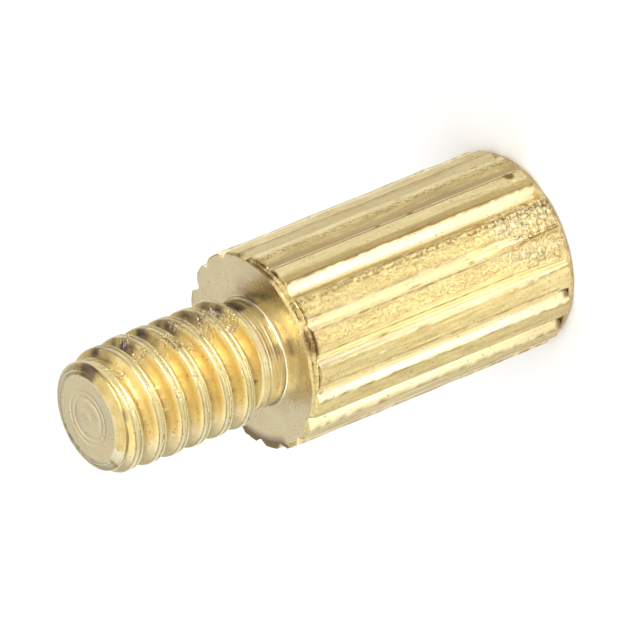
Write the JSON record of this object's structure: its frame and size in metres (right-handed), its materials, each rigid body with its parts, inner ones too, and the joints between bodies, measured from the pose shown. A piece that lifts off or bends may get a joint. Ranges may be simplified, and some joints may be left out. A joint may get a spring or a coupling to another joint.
{
  "type": "round standoff",
  "caption": "Round knurled brass standoff with an M2 threaded stud on one end and a blind tapped M2 hole in the other.",
  "frame": {"origin": "centre of the flat tapped end, on the axis", "axes": "+Z along the axis from the tapped end to the tip of the stud; -Y through the middle of one knurl groove"},
  "size_m": [0.003, 0.003, 0.0078],
  "materials": {
    "standoff": "bright turned and rolled brass"
  },
  "bodies": {
    "root": {"standoff": "standoff"}
  },
  "joints": []
}
